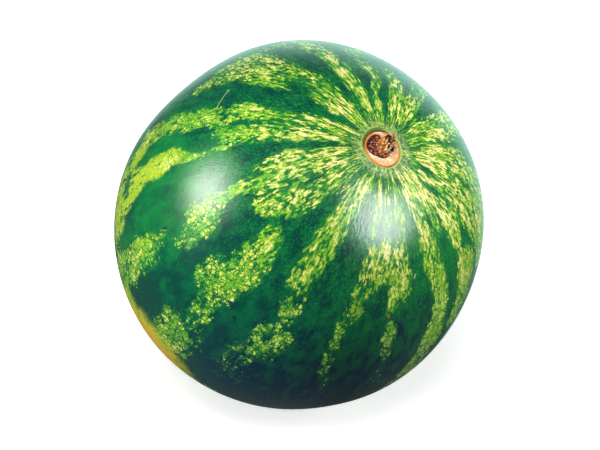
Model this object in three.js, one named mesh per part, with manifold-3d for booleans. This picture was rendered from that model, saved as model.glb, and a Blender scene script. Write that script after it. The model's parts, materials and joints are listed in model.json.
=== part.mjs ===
// A whole round watermelon lying on a small flat spot, with the dry stub of its
// stalk still standing in the scar at the stem end.
//
// Millimetres, +Z up. The surface that the fruit lies on is z = 0, and the origin is
// on the flat spot, straight below the middle of the fruit. The stem end points up,
// to +X and to -Y.
import * as THREE from "three";
import { mergeVertices } from "three/addons/utils/BufferGeometryUtils.js";
import Module from "manifold-3d";

const DEGREES = Math.PI / 180;
const TURN = 2 * Math.PI;

// ---- Driving dimensions ----------------------------------------------------

// The fruit's body, about its own axis from blossom end to stem end.
const GIRTH_RADIUS = 115; // half the width across the middle
const POLE_STRETCH = 0.04; // share by which the ends stand further out than the middle
const LOBE_DEPTH = 0.4; // height of the three faint lobes of the cross-section
const LOBE_AROUND = 38 * DEGREES; // where the first lobe stands

// Broad soft flats that keep the body from being a perfect egg. Each is given by its
// angle round the fruit, its angle down from the stem end, its depth and its spread.
const FLATS = [
  { around: -165, down: 87, depth: 3.4, spread: 21 },
  { around: 38, down: 78, depth: 1.7, spread: 30 },
  { around: 116, down: 57, depth: 0.7, spread: 24 },
  { around: -11, down: 108, depth: 0.9, spread: 12 },
  { around: 75, down: 126, depth: 1.8, spread: 26 },
  { around: 170, down: 142, depth: 1.3, spread: 22 },
];

// How the fruit lies.
const TILT = 42.1 * DEGREES; // stem end, away from straight up
const HEADING = -52.3 * DEGREES; // and the way it leans, from +X
const REST_HEIGHT = 115.6; // from the surface to the middle of the fruit

// The stem end: a shallow dimple, a low collar, and the round scar sunk in it.
const DIMPLE_DEPTH = 2.2;
const DIMPLE_SPREAD = 24;
const COLLAR_HEIGHT = 0.5;
const COLLAR_RADIUS = 13.6;
const COLLAR_SPREAD = 1.7;
const SCAR_RADIUS = 11.4; // middle of the scar's wall
const SCAR_WALL = 0.3; // half the width over which the wall falls
const SCAR_DEPTH = 3;

// The blossom end: a small dimple with a corky button in it.
const BLOSSOM_DEPTH = 1.5;
const BLOSSOM_SPREAD = 11;
const BUTTON_RADIUS = 4;
const BUTTON_EDGE = 1;
const BUTTON_HEIGHT = 0.9;

// How finely the skin is cut.
const SEGMENTS = 72;
const WIDE_STEP = 4.2 * DEGREES; // between rings away from the ends
const SCAR_RINGS = [4, 7.5, 10.1, SCAR_RADIUS - SCAR_WALL, SCAR_RADIUS, SCAR_RADIUS + SCAR_WALL];
const COLLAR_RINGS = [12.7, COLLAR_RADIUS, 14.8, 17, 20.5, 25, 31];
const BUTTON_RINGS = [1.6, 2.9, 3.6, 4.4, 5.2, 7, 9.5, 13, 18, 25];

// The stalk's stub and the corky base that it stands on, from the scar's floor up.
const FIT_GAP = 0.3; // between the base and the skin
const BASE_RADIUS = SCAR_RADIUS - SCAR_WALL - FIT_GAP;
const STUB_SEGMENTS = 40;
const FOOT_SHIFT = 1.5; // the stub stands this far off the middle of its base
const FOOT_AROUND = 180 * DEGREES;
const STUB_HEIGHT = 10.4;
const STUB_LEAN = 4.2; // how far its tip has leant over
const LEAN_AROUND = 104 * DEGREES;
const STRAND_COUNT = 6; // dry strands that show as ridges up the stub
const STRAND_RELIEF = 0.13; // share of the stub's radius
const STRAND_TWIST = 0.25; // radians of twist for each millimetre up
const BREAK_DEPTH = 2.2; // how far down from its tip the stub is broken
const BREAK_WAVES = [
  { count: 3, height: 0.7 },
  { count: 7, height: 0.5 },
];
const SPLINTER_COUNT = 9; // torn fibre ends round its broken top
const SPLINTER_RADIUS = 0.75;
const SPLINTER_SIDES = 5;
const SPLINTER_LENGTH = { least: 3, spare: 2 };
const SPLINTER_SPLAY = { least: 6 * DEGREES, spare: 22 * DEGREES };
const SPLINTER_ROOT = { radius: 2.7, height: 7.2 };
const SPLINTER_SEED = 11;

// ---- Small helpers ---------------------------------------------------------

// A direction from its angle round the fruit and its angle down from the stem end.
function direction(around, down) {
  return new THREE.Vector3(
    Math.sin(down) * Math.cos(around),
    Math.sin(down) * Math.sin(around),
    Math.cos(down),
  );
}

// 1 at the middle, falling smoothly to 0.
function bump(distance, spread) {
  return Math.exp(-((distance / spread) ** 2));
}

// A repeatable source of numbers from 0 to 1.
function seededDraws(seed) {
  let state = seed;
  return () => {
    state = (state * 16807) % 2147483647;
    return state / 2147483647;
  };
}

// A closed surface from rings of points: rings[0] and the last are single points.
function closedRings(rings) {
  const positions = [];
  const faces = [];
  const starts = rings.map((ring) => {
    const start = positions.length / 3;
    ring.forEach((point) => positions.push(point.x, point.y, point.z));
    return start;
  });
  for (let row = 0; row + 1 < rings.length; row += 1) {
    const near = rings[row].length;
    const far = rings[row + 1].length;
    const count = Math.max(near, far);
    for (let k = 0; k < count; k += 1) {
      const next = (k + 1) % count;
      const a = starts[row] + (near > 1 ? k : 0);
      const b = starts[row] + (near > 1 ? next : 0);
      const c = starts[row + 1] + (far > 1 ? k : 0);
      const d = starts[row + 1] + (far > 1 ? next : 0);
      if (far > 1) faces.push(a, c, d);
      if (near > 1) faces.push(a, d, b);
    }
  }
  const geometry = new THREE.BufferGeometry();
  geometry.setAttribute("position", new THREE.Float32BufferAttribute(positions, 3));
  geometry.setIndex(faces);
  return geometry;
}

// ---- Joins and cuts --------------------------------------------------------

const wasm = await Module();
wasm.setup();

function toSolid(geometry) {
  const bare = geometry.clone();
  bare.deleteAttribute("normal");
  bare.deleteAttribute("uv");
  const merged = mergeVertices(bare, 1e-4);
  return new wasm.Manifold(
    new wasm.Mesh({
      numProp: 3,
      vertProperties: new Float32Array(merged.attributes.position.array),
      triVerts: new Uint32Array(merged.index.array),
    }),
  );
}

function toGeometry(solid) {
  const mesh = solid.getMesh();
  const geometry = new THREE.BufferGeometry();
  geometry.setAttribute("position", new THREE.BufferAttribute(mesh.vertProperties, 3));
  geometry.setIndex(new THREE.BufferAttribute(mesh.triVerts, 1));
  geometry.computeVertexNormals();
  return geometry;
}

// ---- The fruit -------------------------------------------------------------

// From the middle of the fruit to its skin, before the ends are shaped.
function skinRadius(towards) {
  const height = towards.z;
  const girth = 1 - height * height;
  const around = Math.atan2(towards.y, towards.x);
  const lobes = LOBE_DEPTH * girth * Math.cos(3 * (around - LOBE_AROUND));
  const flats = FLATS.reduce((sum, flat) => {
    const middle = direction(flat.around * DEGREES, flat.down * DEGREES);
    return sum + flat.depth * bump(towards.angleTo(middle), flat.spread * DEGREES);
  }, 0);
  return GIRTH_RADIUS * (1 + POLE_STRETCH * height * height) + lobes - flats;
}

// How much the stem end sinks at a distance from the fruit's axis.
function stemEndFall(distance) {
  const wall = THREE.MathUtils.smoothstep(
    distance,
    SCAR_RADIUS - SCAR_WALL,
    SCAR_RADIUS + SCAR_WALL,
  );
  const dimple = DIMPLE_DEPTH * bump(distance, DIMPLE_SPREAD);
  const collar = COLLAR_HEIGHT * bump(distance - COLLAR_RADIUS, COLLAR_SPREAD);
  return dimple + SCAR_DEPTH * (1 - wall) - collar * wall;
}

// How much the blossom end sinks at a distance from the fruit's axis.
function blossomEndFall(distance) {
  const edge = THREE.MathUtils.smoothstep(
    distance,
    BUTTON_RADIUS - BUTTON_EDGE,
    BUTTON_RADIUS + BUTTON_EDGE,
  );
  return BLOSSOM_DEPTH * bump(distance, BLOSSOM_SPREAD) - BUTTON_HEIGHT * (1 - edge);
}

function skinPoint(around, down) {
  const towards = direction(around, down);
  const point = towards.clone().multiplyScalar(skinRadius(towards));
  const distance = Math.hypot(point.x, point.y);
  if (point.z > 0) point.z -= stemEndFall(distance);
  else point.z += blossomEndFall(distance);
  return point;
}

// Angles down from the stem end at which the skin's rings lie: close at the ends,
// where the scar and the button need them, and evenly spaced between.
function ringAngles() {
  const endRadius = GIRTH_RADIUS * (1 + POLE_STRETCH);
  const stemEnd = [...SCAR_RINGS, ...COLLAR_RINGS].map((distance) => Math.asin(distance / endRadius));
  const blossomEnd = BUTTON_RINGS.map((distance) => Math.PI - Math.asin(distance / endRadius));
  const first = stemEnd.at(-1);
  const last = blossomEnd.at(-1);
  const steps = Math.round((last - first) / WIDE_STEP);
  const step = (last - first) / steps;
  const between = Array.from({ length: steps - 1 }, (_, k) => first + (k + 1) * step);
  return [0, ...stemEnd, ...between, ...blossomEnd.reverse(), Math.PI];
}

// The fruit's own frame, stem end along +Z, set into the way that it lies.
const lie = new THREE.Matrix4()
  .makeTranslation(0, 0, REST_HEIGHT)
  .multiply(new THREE.Matrix4().makeRotationZ(HEADING))
  .multiply(new THREE.Matrix4().makeRotationY(TILT));

function makeFruit() {
  const rings = ringAngles().map((down) => {
    if (down === 0 || down === Math.PI) return [skinPoint(0, down)];
    return Array.from({ length: SEGMENTS }, (_, k) => skinPoint((k * TURN) / SEGMENTS, down));
  });
  const body = toSolid(closedRings(rings).applyMatrix4(lie));
  const size = 4 * GIRTH_RADIUS;
  const below = new THREE.BoxGeometry(size, size, size).translate(0, 0, -size / 2);
  return toGeometry(body.subtract(toSolid(below)));
}

// ---- The stalk's stub ------------------------------------------------------

// From the underside's middle, out to the base's edge, over its rim, down its dished
// face to the foot, and up the stub to its broken top. Each is a radius and a height.
const STUB_PROFILE = [
  [0, FIT_GAP],
  [6, FIT_GAP],
  [BASE_RADIUS - 0.9, FIT_GAP],
  [BASE_RADIUS - 0.15, 1],
  [BASE_RADIUS, 1.9],
  [BASE_RADIUS - 0.35, 2.6],
  [BASE_RADIUS - 1.2, 2.9],
  [8.7, 2.5],
  [7.6, 1.9],
  [6.6, 1.5],
  [5.5, 1.8],
  [4.8, 2.9],
  [4.3, 4.4],
  [4, 6],
  [3.9, 7.6],
  [3.6, 8.9],
  [2.9, 9.4],
  [1.6, 8.7],
  [0, 8.2],
];
const FOOT_RADIUS = 6.6; // inside this the profile is the stub itself
const FOOT_HEIGHT = 1.8; // and above this
const LEAN_CURVE = 1.4; // power with which the lean grows up the stub

// Where the stub's middle is at a height: off the base's middle, and leaning.
function stubMiddle(radius, height) {
  const inside = 1 - THREE.MathUtils.smoothstep(radius, FOOT_RADIUS, BASE_RADIUS - 1);
  const rise = Math.max(0, height - FOOT_HEIGHT) / (STUB_HEIGHT - FOOT_HEIGHT);
  const lean = STUB_LEAN * rise ** LEAN_CURVE;
  return new THREE.Vector3(
    inside * FOOT_SHIFT * Math.cos(FOOT_AROUND) + lean * Math.cos(LEAN_AROUND),
    inside * FOOT_SHIFT * Math.sin(FOOT_AROUND) + lean * Math.sin(LEAN_AROUND),
    0,
  );
}

function stubPoint(radius, height, around) {
  const onUnderside = height <= FIT_GAP;
  const middle = onUnderside ? new THREE.Vector3() : stubMiddle(radius, height);
  const isStub = height > FOOT_HEIGHT && radius < FOOT_RADIUS;
  const isBroken = isStub && height > STUB_HEIGHT - BREAK_DEPTH;
  const strand = Math.sin(STRAND_COUNT * around + STRAND_TWIST * height);
  const reach = isStub ? radius * (1 + STRAND_RELIEF * strand) : radius;
  const waves = BREAK_WAVES.map((wave) => wave.height * Math.sin(wave.count * around));
  const ragged = isBroken ? waves.reduce((sum, wave) => sum + wave, 0) : 0;
  return new THREE.Vector3(
    middle.x + reach * Math.cos(around),
    middle.y + reach * Math.sin(around),
    height + ragged,
  );
}

// Thin torn fibres standing round the stub's broken top, rooted well inside it.
function makeSplinters() {
  const draw = seededDraws(SPLINTER_SEED);
  return Array.from({ length: SPLINTER_COUNT }, (_, k) => {
    const around = ((k + 0.4 * draw()) * TURN) / SPLINTER_COUNT;
    const length = SPLINTER_LENGTH.least + SPLINTER_LENGTH.spare * draw();
    const splay = SPLINTER_SPLAY.least + SPLINTER_SPLAY.spare * draw();
    const root = stubPoint(SPLINTER_ROOT.radius, SPLINTER_ROOT.height, around);
    const cone = new THREE.ConeGeometry(SPLINTER_RADIUS, length, SPLINTER_SIDES);
    cone.translate(0, length / 2, 0).rotateX(Math.PI / 2);
    cone.rotateY(splay).rotateZ(around).translate(root.x, root.y, root.z);
    return toSolid(cone);
  });
}

function makeStub() {
  const rings = STUB_PROFILE.map(([radius, height]) => {
    if (radius === 0) return [stubPoint(0, height, 0)];
    return Array.from({ length: STUB_SEGMENTS }, (_, k) =>
      stubPoint(radius, height, (k * TURN) / STUB_SEGMENTS),
    );
  });
  // The skin's rings run down from the stem end, so these do too, to face outwards.
  const body = closedRings(rings.reverse());
  return toGeometry(makeSplinters().reduce((sum, splinter) => sum.add(splinter), toSolid(body)));
}

// ---- The model -------------------------------------------------------------

const rindMaterial = new THREE.MeshStandardMaterial({
  color: "#2f7a3a",
  roughness: 0.4,
  metalness: 0,
});
const dryStalkMaterial = new THREE.MeshStandardMaterial({
  color: "#9a5a34",
  roughness: 0.85,
  metalness: 0,
});

const fruit = new THREE.Mesh(makeFruit(), rindMaterial);
fruit.name = "fruit";

const stalkStub = new THREE.Mesh(makeStub(), dryStalkMaterial);
stalkStub.name = "stalk_stub";
stalkStub.position.z = GIRTH_RADIUS * (1 + POLE_STRETCH) - stemEndFall(0);

const stemEnd = new THREE.Group();
stemEnd.applyMatrix4(lie);
stemEnd.add(stalkStub);

const watermelon = new THREE.Group();
watermelon.add(fruit, stemEnd);

export default watermelon;
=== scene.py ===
"""A whole round watermelon with broken dark stripes, resting on a pale floor.

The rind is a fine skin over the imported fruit. Its stripes are laid out as pale bands,
each given by where it runs down the fruit, and the shader breaks them into cells.
Lengths are in metres unless a name says mm, and angles on the fruit are in degrees:
"around" the fruit's axis, and "down" from its stem end.
"""
import json
import math

import bpy
import numpy as np
from mathutils import Euler, Matrix, Vector

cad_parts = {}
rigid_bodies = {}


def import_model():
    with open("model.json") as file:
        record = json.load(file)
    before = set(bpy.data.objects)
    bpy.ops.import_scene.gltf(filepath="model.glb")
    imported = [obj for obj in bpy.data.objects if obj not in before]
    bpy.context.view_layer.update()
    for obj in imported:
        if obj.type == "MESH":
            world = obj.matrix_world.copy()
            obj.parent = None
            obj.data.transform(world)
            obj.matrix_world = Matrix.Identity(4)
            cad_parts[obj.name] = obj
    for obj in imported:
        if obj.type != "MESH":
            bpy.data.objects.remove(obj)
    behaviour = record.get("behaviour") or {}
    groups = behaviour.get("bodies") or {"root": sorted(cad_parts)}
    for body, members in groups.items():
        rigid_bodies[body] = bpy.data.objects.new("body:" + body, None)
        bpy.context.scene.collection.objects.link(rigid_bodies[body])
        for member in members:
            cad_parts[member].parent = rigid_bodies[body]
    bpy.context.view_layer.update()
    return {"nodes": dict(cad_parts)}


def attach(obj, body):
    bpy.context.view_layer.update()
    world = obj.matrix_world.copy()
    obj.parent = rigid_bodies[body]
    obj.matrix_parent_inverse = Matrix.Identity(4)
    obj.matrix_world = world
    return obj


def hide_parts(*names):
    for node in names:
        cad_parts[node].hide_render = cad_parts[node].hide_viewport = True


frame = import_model()

MM = 0.001

# ---- How the fruit lies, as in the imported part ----

GIRTH_RADIUS = 115 * MM
TILT = math.radians(42.1)
HEADING = math.radians(-52.3)
REST_HEIGHT = 115.6 * MM
TURN = Euler((0, TILT, HEADING)).to_matrix().to_4x4()
LIE = Matrix.Translation((0, 0, REST_HEIGHT)) @ TURN

# ---- The pale bands between the dark stripes ----
# Each band is a row of (down, around, half width, how fully pale in percent).

SEEN_BANDS = [
    # far left, fading into the haze at the top
    [(7, -166, 9, 70), (14, -165, 10, 95), (19, -168, 8.5, 85), (25, -171, 6, 85),
     (32, -168, 6, 70), (40, -164, 8, 75), (48, -163, 10, 80), (55, -164, 12, 75),
     (61, -160, 10, 40)],
    [(57, -152, 2, 30), (62, -150, 3.5, 70), (67, -149, 2.5, 30)],
    [(17, -158, 6, 85), (22, -159, 5.5, 85), (27, -161, 4, 30)],
    [(28, -157, 3, 0), (36, -156, 4.5, 70), (44, -156, 4.5, 70), (52, -157, 4, 30)],
    # the broad double band of the upper left
    [(7, -139, 6, 70), (14, -138, 7, 90), (20, -137, 5.5, 80), (27, -136, 4.5, 80),
     (36, -136, 4.5, 90), (42, -137, 4.5, 100), (47, -134, 5, 60), (55, -135, 4.5, 90),
     (62, -135, 4, 80), (70, -136, 4, 50), (77, -135, 4.5, 45), (84, -132, 7, 85)],
    [(7, -126, 5, 70), (17, -126, 6, 95), (25, -125, 6, 100), (31, -125, 5.5, 85),
     (38, -125, 4.5, 95), (44, -125, 4.5, 70), (49, -125, 4, 30), (53, -124, 3, 0)],
    [(44, -119.5, 1.2, 60), (50, -119, 1.4, 90), (57, -119.5, 1.6, 90), (63, -122, 3, 90),
     (70, -121, 4, 95), (77, -121, 3.5, 80), (86, -119, 5, 90)],
    # the band that passes under the left light
    [(7, -102, 7, 70), (13, -102, 9, 100), (20, -102, 9.5, 95), (25, -101, 9.5, 95),
     (30, -102, 8.5, 90), (36, -100, 6, 90), (42, -100.5, 3.5, 85), (47, -100.5, 2.5, 80),
     (53, -98, 5, 90), (58, -96, 6.5, 90), (63, -94, 4.5, 75), (67, -94, 2.5, 45),
     (71, -97, 3, 20), (79, -98, 4.5, 75), (88, -98, 5, 70), (96, -98, 5.5, 60)],
    [(18, -110, 3, 50), (28, -109, 4, 80), (36, -106, 3, 40)],
    # the band that ends in the ground spot
    [(7, -82, 8, 70), (15, -81, 10.5, 90), (22, -80, 7, 75), (27, -79, 6, 75),
     (33, -78, 4.5, 70), (36.5, -77, 3, 10), (41, -76, 5, 85), (47, -74, 6, 95),
     (54, -73, 6.8, 85), (60, -75, 6.8, 70), (66, -76, 6.8, 65), (71, -74, 5, 45),
     (76, -72, 4.5, 45), (80, -73, 4.5, 30), (85, -74, 7, 60), (92, -73, 7, 65),
     (100, -74, 8, 80)],
    [(24, -84, 4, 40), (29, -86, 6, 90), (35, -87, 6, 95), (40, -89, 5, 80), (43, -89, 3, 10)],
    [(58, -83, 1.5, 30), (65, -82.5, 2.5, 85), (70, -82, 2, 0)],
    # the neat band in the middle, broken twice
    [(7, -57, 8, 75), (14, -57, 8, 85), (20, -57, 7, 95), (28, -56.5, 6.5, 95), (36, -56, 6, 95),
     (44, -56, 5.5, 95), (48, -55, 5, 80), (50.5, -53, 4, 20), (53, -52.5, 4.5, 80),
     (56, -52, 4, 80), (59.5, -51, 3, 30), (63, -50, 5, 80), (68, -52, 6, 55),
     (74, -53, 6.5, 30), (80, -54.5, 6, 28), (87, -55, 6, 22), (94, -52, 6, 25)],
    [(61, -56.5, 1.5, 20), (66, -56, 1.5, 50), (73, -55, 1.5, 20)],
    # the short fat band under the right light, and its trails
    [(7, -45, 4, 60), (11, -46, 3, 60), (16, -47, 2, 30)],
    [(7, -34, 3, 60), (14, -33, 3, 60), (22, -32, 3, 35), (29, -31.5, 3, 70), (37, -31, 3, 80),
     (41, -31, 2.5, 45), (45, -31.5, 3, 60), (50, -32, 3, 45), (56, -32.5, 2, 70),
     (62, -31.5, 2, 60), (68, -31, 2, 55), (75, -29, 2.5, 35), (82, -27, 2, 0)],
    [(7, -22, 4, 60), (15, -22, 3, 50), (24, -22, 3, 35), (30, -23, 6, 90), (37, -23, 6, 90),
     (40, -25, 3.5, 40), (43, -27.5, 1.4, 70), (48, -27.5, 1.2, 60), (53, -28, 1.2, 0)],
    [(7, -10, 4, 60), (15, -11, 3, 60), (25, -12, 4, 50), (32, -13, 6, 80), (38, -12, 6.5, 85),
     (43, -11, 4, 60), (47, -9, 2, 0)],
    [(39, -17, 2, 30), (46, -14.5, 2.5, 60), (50, -14.5, 1.5, 30), (54, -12.5, 2.5, 65),
     (60, -12.5, 3, 60), (64, -12, 2.5, 45), (69, -12, 2, 10), (74, -11, 4, 35), (82, -9, 4, 0)],
    # the long band of the right side
    [(7, 7, 6, 60), (18, 8, 7, 80), (24, 6, 5, 70), (30, 8, 6, 85), (36, 8, 6, 85),
     (42, 10, 4.5, 85), (50, 11, 4, 90), (56, 10, 4.5, 90), (62, 9, 5, 85), (69, 9, 5, 85),
     (74, 6, 5.5, 75), (80, 5, 6, 70), (90, 4, 6, 60)],
    # short streaks and patches of the right edge
    [(7, 22, 9, 75), (12, 22, 10, 90), (19, 18, 4, 85), (26, 19, 3, 70), (32, 19, 2, 0)],
    [(18, 27, 3.5, 80), (25, 27, 3, 85), (30, 27, 4, 95), (36, 28, 4.5, 95), (40, 27.5, 3, 40),
     (44, 29, 6, 85), (49, 29.5, 7.5, 100), (54, 27.5, 7, 95), (60, 25, 6, 75), (68, 22, 5, 55)],
    [(23, 32.5, 2, 70), (29, 34, 2.5, 85), (36, 36, 2.5, 30)],
    [(14, 38, 5, 75), (20, 40, 3, 80), (26, 41, 3, 80), (33, 42, 3.5, 100), (40, 42, 3.5, 85),
     (46, 43, 4, 85), (56, 43, 5, 85)],
    [(20, 47, 4, 50), (27, 49, 4.5, 65), (36, 52, 6, 80), (46, 53, 8, 90), (56, 52, 8, 80)],
    [(15, 53.5, 3, 70), (22, 54.5, 3.2, 95), (29, 55, 3, 60)],
    [(7, 63, 9, 60), (14, 63, 8, 70), (22, 64, 6.5, 70), (34, 66, 6, 70), (50, 67, 8, 70)],
    [(15, 75, 5, 60), (22, 73, 5, 95), (28, 74, 5, 95), (34, 74, 4, 70)],
    [(7, 94, 8, 70), (15, 92, 8.5, 95), (20, 92, 9, 100), (28, 93, 9, 100), (36, 95, 7.5, 90),
     (48, 95, 7, 75)],
    [(8, 115, 5, 70), (18, 117, 6, 90), (26, 118, 6, 80), (34, 118, 5, 60), (46, 115, 5, 50)],
    [(8, 129, 7, 70), (17, 131, 7.5, 95), (22, 131, 6.5, 90), (29, 134, 5.5, 70),
     (36, 137, 5, 40)],
    [(7, 150, 7, 75), (11, 152, 6, 95), (17, 154, 4, 50)],
    [(19, 152, 3, 50), (26, 147, 5, 70), (32, 151, 6, 45), (44, 150, 7, 45)],
    [(7, 166, 6, 75), (15, 168, 6, 90), (22, 169, 6, 95), (30, 169, 6, 90), (38, 169, 5.5, 85),
     (48, 170, 7, 60), (56, 174, 10, 65)],
    # the left edge
    [(86, -114, 1.5, 20), (91, -116, 5, 80), (97, -118, 9, 85), (106, -120, 12, 80)],
    [(96, -103, 1, 20), (100, -101, 4, 60), (106, -98, 9, 85), (112, -98, 12, 80)],
]

# Round the back and underneath the bands go on by rule from where these end:
# (around, down from which it goes on).
HIDDEN_BANDS = [
    (-163, 56), (-148, 108), (-129, 86), (-98, 96), (-73, 100), (-52, 112), (-29, 108),
    (-10, 104), (6, 90), (25, 72), (47, 56), (70, 48), (95, 48), (116, 46), (132, 62),
    (150, 44), (169, 48),
]
HIDDEN_STEP = 7
HIDDEN_END = 172
HIDDEN_WANDER = 1.3
HIDDEN_HALF_WIDTHS = (3.2, 6.5)
HIDDEN_PALE = (35, 100)
HIDDEN_BREAKS = 0.16  # share of their length where they nearly stop
HIDDEN_BREAK_PALE = 10
HIDDEN_SEED = 5

BAND_EDGE = 0.55  # share of a band's half width over which it fades out
END_FADE = 3.0  # how far past its ends a band fades out
NEAR_STEM = {"pale": 0.4, "from": 8, "to": 27}  # the skin is paler all round the stalk
COLLAR = {"pale": 0.62, "from": 8, "to": 14}  # but less so right beside the scar

# Patches of other colour, strongest in their middle: (down, around), and the reach of each.
SPOTS = {
    # yellowed skin on the left limb, with painted light on it
    "yellowed_and_lit": (82, -119, 44, 36),
    # more pale bands on the right side, with painted light that brightens bands and stripes there
    "paler_and_lit": (36, 30, 60, 90),
    # greener pale cells low in the middle, where the dark stripes are painted darker with shade
    "greener_and_shaded": (84, -12, 50, 62),
    "ground": (122, -77, 27, 26),
}

# ---- Fine skin ----

SKIN_LEVELS = 2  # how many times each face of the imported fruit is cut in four
MERGE_GAP = 0.02 * MM
# The patterns' share of full width at an end of the fruit, for skin_vector.
GRAIN_POLE = 0.45
THREAD_POLE = 0.55
THREAD_PACE = 0.5
SCAR_FLOOR = 114.4 * MM  # from the fruit's middle, along its axis


def smooth(value, low, high):
    """0 below low, 1 above high, and a smooth step between."""
    share = np.clip((value - low) / (high - low), 0, 1)
    return share * share * (3 - 2 * share)


def turn_between(a, b):
    """The difference of two angles round the fruit, from -180 to 180."""
    return (a - b + 180) % 360 - 180


# ---- Modelling helpers ----


def deselect_all():
    bpy.ops.object.select_all(action="DESELECT")


def switch(mode):
    bpy.ops.object.mode_set(mode=mode)


def pick(obj):
    deselect_all()
    obj.select_set(True)
    bpy.context.view_layer.objects.active = obj


def apply_modifier(obj, kind, **settings):
    pick(obj)
    modifier = obj.modifiers.new(kind.title(), kind)
    for name, value in settings.items():
        setattr(modifier, name, value)
    bpy.ops.object.modifier_apply(modifier=modifier.name)


def settle_place(obj):
    """Puts the object at the origin, unturned, with its place in its mesh."""
    pick(obj)
    bpy.ops.object.transform_apply(location=True, rotation=True, scale=True)


def vertices_of(obj):
    places = np.empty(len(obj.data.vertices) * 3)
    obj.data.vertices.foreach_get("co", places)
    return places.reshape(-1, 3)


def on_the_fruit(places):
    """The angles down and around of each place."""
    back = np.array(LIE.inverted())
    own = places @ back[:3, :3].T + back[:3, 3]
    distance = np.linalg.norm(own, axis=1)
    down = np.degrees(np.arccos(np.clip(own[:, 2] / distance, -1, 1)))
    return down, np.degrees(np.arctan2(own[:, 1], own[:, 0]))


def store(obj, name, values):
    kind = "FLOAT_VECTOR" if values.ndim == 2 else "FLOAT"
    attribute = obj.data.attributes.new(name, kind, "POINT")
    attribute.data.foreach_set("vector" if values.ndim == 2 else "value", values.ravel())


# ---- The bands as a field over the skin ----


def band_field(band, down, around):
    knots = np.array(band, float)
    middle = np.interp(down, knots[:, 0], knots[:, 1])
    half = np.interp(down, knots[:, 0], knots[:, 2])
    pale = np.interp(down, knots[:, 0], knots[:, 3] / 100)
    within = 0.2 * END_FADE
    pale = pale * smooth(down, knots[0, 0] - END_FADE, knots[0, 0] + within)
    pale = pale * (1 - smooth(down, knots[-1, 0] - within, knots[-1, 0] + END_FADE))
    off = np.abs(turn_between(around, middle)) / half
    return pale * (1 - smooth(off, 1 - BAND_EDGE, 1 + BAND_EDGE))


def hidden_bands():
    draw = np.random.RandomState(HIDDEN_SEED)
    bands = []
    for around, start in HIDDEN_BANDS:
        downs = np.arange(start, HIDDEN_END, HIDDEN_STEP)
        wander = np.cumsum(draw.uniform(-HIDDEN_WANDER, HIDDEN_WANDER, len(downs)))
        half = draw.uniform(*HIDDEN_HALF_WIDTHS, len(downs))
        pale = draw.uniform(*HIDDEN_PALE, len(downs))
        pale[draw.uniform(size=len(downs)) < HIDDEN_BREAKS] = HIDDEN_BREAK_PALE
        bands.append(list(zip(downs, around + wander, half, pale)))
    return bands


def pale_field(down, around):
    left_dark = np.ones_like(down)
    for band in SEEN_BANDS + hidden_bands():
        left_dark *= 1 - np.clip(band_field(band, down, around), 0, 1)
    near_stem = NEAR_STEM["pale"] * (1 - smooth(down, NEAR_STEM["from"], NEAR_STEM["to"]))
    collar = COLLAR["pale"] + (1 - COLLAR["pale"]) * smooth(down, COLLAR["from"], COLLAR["to"])
    return np.clip(1 - left_dark + near_stem, 0, 1) * collar


def spot_field(spot, down, around):
    off_down = (down - spot[0]) / spot[2]
    off_around = turn_between(around, spot[1]) / spot[3]
    return np.clip(1 - off_around**2 - off_down**2, 0, 1)


def skin_vector(down, around, pole, pace_at):
    """Where a point is for a pattern on the skin, in mm. The pattern is narrow round the
    ends, by how small the pole share is, and drawn out along the fruit where the pace,
    from 0 at an end to 1 round the middle, is low."""
    rings = np.radians(np.linspace(0, 180, 721))
    reach = np.sqrt(np.sin(rings) ** 2 + pole**2) / math.sqrt(1 + pole**2)
    slope = np.gradient(reach, rings)
    pace = pace_at(np.minimum(rings, math.pi - rings))
    climb = np.sqrt(np.maximum(pace**2 - slope**2, 0.02))
    height = -np.concatenate([[0], np.cumsum((climb[1:] + climb[:-1]) / 2 * np.diff(rings))])
    here = np.interp(np.radians(down), rings, reach)
    turn = np.radians(around)
    up = np.interp(np.radians(down), rings, height)
    point = np.stack([here * np.cos(turn), here * np.sin(turn), up], axis=1)
    return GIRTH_RADIUS / MM * point


def grain_pace(near_end):
    return 0.3 + 0.65 * smooth(near_end, math.radians(2), math.radians(75))


def thread_pace(near_end):
    return np.full_like(near_end, THREAD_PACE)


def merged_copy(node_name, name):
    """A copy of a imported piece, its loose triangles merged. It is left in edit mode."""
    copy = frame["nodes"][node_name].copy()
    copy.data = copy.data.copy()
    copy.name = name
    for key in list(copy.keys()):
        del copy[key]
    copy.parent = None
    bpy.context.scene.collection.objects.link(copy)
    pick(copy)
    switch("EDIT")
    bpy.ops.mesh.select_all(action="SELECT")
    bpy.ops.mesh.remove_doubles(threshold=MERGE_GAP)
    return copy


def make_rind():
    rind = merged_copy("fruit", "rind")
    bpy.ops.mesh.tris_convert_to_quads(
        face_threshold=math.radians(40), shape_threshold=math.radians(60)
    )
    switch("OBJECT")
    apply_modifier(rind, "SUBSURF", levels=SKIN_LEVELS, render_levels=SKIN_LEVELS)
    bpy.ops.object.shade_smooth()
    settle_place(rind)
    down, around = on_the_fruit(vertices_of(rind))
    store(rind, "down", down)
    store(rind, "around", around)
    store(rind, "pale", pale_field(down, around))
    for name, spot in SPOTS.items():
        store(rind, name, spot_field(spot, down, around))
    store(rind, "grain", skin_vector(down, around, GRAIN_POLE, grain_pace))
    store(rind, "thread", skin_vector(down, around, THREAD_POLE, thread_pace))
    rind.data.materials.clear()
    rind.data.materials.append(rind_material())
    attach(rind, "root")
    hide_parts("fruit")


# ---- Stalk stub ----

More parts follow.
